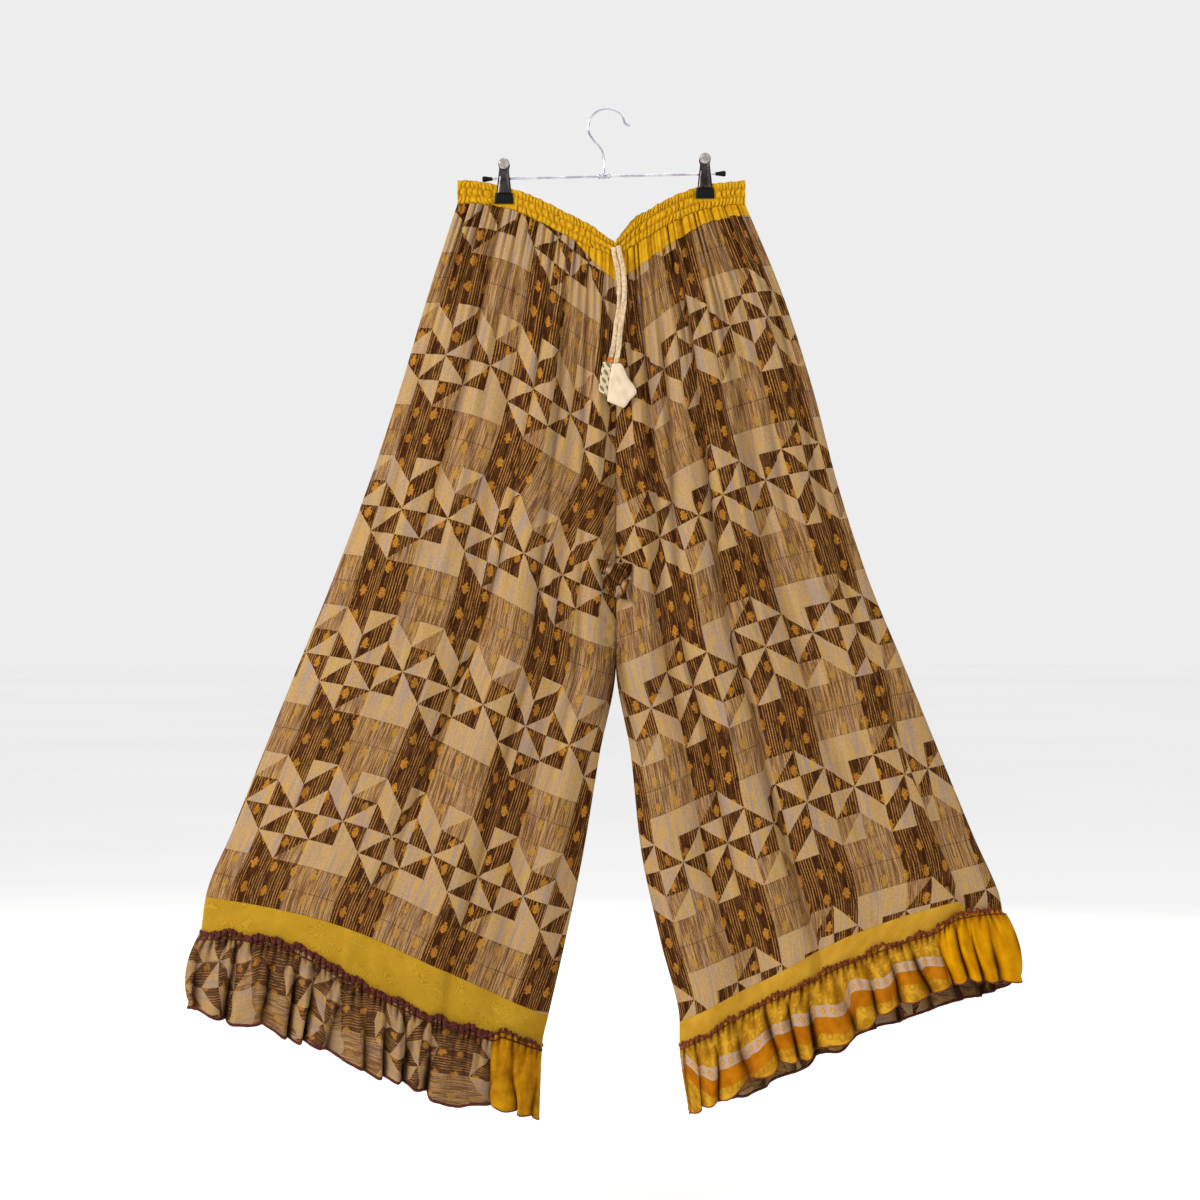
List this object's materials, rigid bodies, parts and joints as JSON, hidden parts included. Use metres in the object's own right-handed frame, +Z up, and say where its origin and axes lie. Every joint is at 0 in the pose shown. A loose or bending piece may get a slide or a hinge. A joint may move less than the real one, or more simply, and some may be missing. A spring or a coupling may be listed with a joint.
{
  "type": "palazzo pants on a clip hanger",
  "caption": "Wide-legged printed palazzo pants with a gathered elastic waist, bordered and frilled hems and a tasselled drawstring, hung by the waist on a wire clip hanger.",
  "frame": {"origin": "inside top of the hanger's hook, where the rod bears", "axes": "+Z up, the front of the pants faces -Y, and the wearer's left leg lies at +X"},
  "size_m": [1.0047, 0.0969, 1.2159],
  "materials": {
    "printed_cloth": "soft printed rayon",
    "waist_yellow": "gathered rayon over elastic",
    "border_yellow": "soft printed rayon",
    "frill_brown": "soft printed rayon",
    "frill_striped": "soft printed rayon",
    "frill_orange": "smooth rayon with a slight sheen",
    "cream_cotton": "matt cotton tape",
    "leaf_cotton": "matt cotton with a small leaf",
    "orange_cotton": "matt cotton",
    "chrome_wire": "polished plating",
    "clip_steel": "dark polished plating",
    "black_rubber": "matt moulded rubber"
  },
  "bodies": {
    "root": {"bar_cap_left": "black_rubber", "bar_cap_right": "black_rubber", "border_left_back": "border_yellow", "border_left_front": "border_yellow", "border_right_back": "border_yellow", "border_right_front": "border_yellow", "clip_left_back_grip": "black_rubber", "clip_left_back_jaw": "clip_steel", "clip_left_front_grip": "black_rubber", "clip_left_front_jaw": "clip_steel", "clip_left_spring": "chrome_wire", "clip_right_back_grip": "black_rubber", "clip_right_back_jaw": "clip_steel", "clip_right_front_grip": "black_rubber", "clip_right_front_jaw": "clip_steel", "clip_right_spring": "chrome_wire", "drawstring_left": "cream_cotton", "drawstring_right": "cream_cotton", "hanger_bar": "chrome_wire", "hanger_hook": "chrome_wire", "hanger_sleeve": "chrome_wire", "leg_left_back": "printed_cloth", "leg_left_front": "printed_cloth", "leg_right_back": "printed_cloth", "leg_right_front": "printed_cloth", "ruffle_left_back": "frill_brown", "ruffle_left_front": "frill_striped", "ruffle_left_front_end": "frill_orange", "ruffle_right_back": "frill_brown", "ruffle_right_front": "frill_brown", "ruffle_right_front_end": "border_yellow", "tab_cream": "cream_cotton", "tab_leaf": "leaf_cotton", "tab_patch": "orange_cotton", "waistband_back": "waist_yellow", "waistband_front": "waist_yellow", "yoke_left_front": "border_yellow", "yoke_right_front": "border_yellow"}
  },
  "joints": []
}
